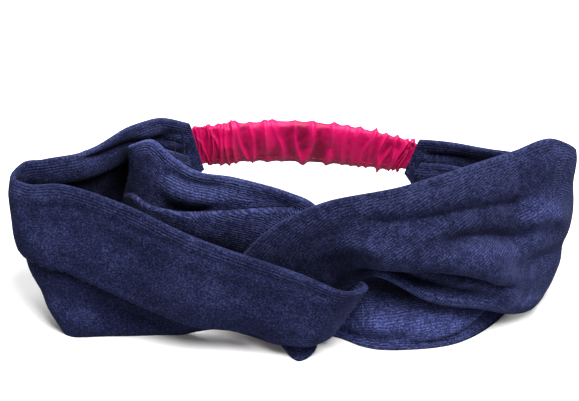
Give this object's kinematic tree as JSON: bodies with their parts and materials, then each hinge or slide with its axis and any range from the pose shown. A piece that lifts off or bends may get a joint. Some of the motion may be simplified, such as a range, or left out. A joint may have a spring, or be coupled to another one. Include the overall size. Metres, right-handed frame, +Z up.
{
  "type": "knotted headband",
  "caption": "Wide soft headband of two hooked velour strips with a ruched satin and elastic back.",
  "frame": {"origin": "centre of the bounding box's underside, on the plane that the lower edges stand on", "axes": "+X to the right along the length, +Y from the knot in front to the elastic behind, +Z up"},
  "size_m": [0.2298, 0.103, 0.0729],
  "materials": {
    "navy_velour": "fine-ribbed stretch velour, soft pile with an edge sheen",
    "crimson_satin": "ruched satin, glossy along the folds",
    "white_elastic": "woven flat elastic, matt",
    "navy_thread": "polyester sewing thread",
    "crimson_thread": "polyester sewing thread"
  },
  "bodies": {
    "left_loop": {"left_strip": "navy_velour", "left_strip_seam": "navy_thread", "left_end_seam": "navy_thread", "left_gathering_thread": "navy_thread"},
    "right_loop": {"right_strip": "navy_velour", "right_strip_seam": "navy_thread", "right_end_seam": "navy_thread", "right_gathering_thread": "navy_thread"},
    "elastic_back": {"elastic_casing": "crimson_satin", "elastic_strip": "white_elastic", "casing_topstitch": "crimson_thread"}
  },
  "joints": [
    {"name": "knot_swing", "type": "hinge", "parent": "left_loop", "child": "right_loop", "pos_m": [0.0035, -0.0295, 0.03], "axis": [0, 0, -1], "range_deg": [-3, 12]},
    {"name": "elastic_swing", "type": "hinge", "parent": "left_loop", "child": "elastic_back", "pos_m": [-0.0425, 0.038, 0.04], "axis": [0, 0, -1], "range_deg": [-1.2, 4.8]}
  ],
  "couplings": [
    {"joint": "elastic_swing", "follows": "knot_swing", "ratio": 0.4}
  ]
}
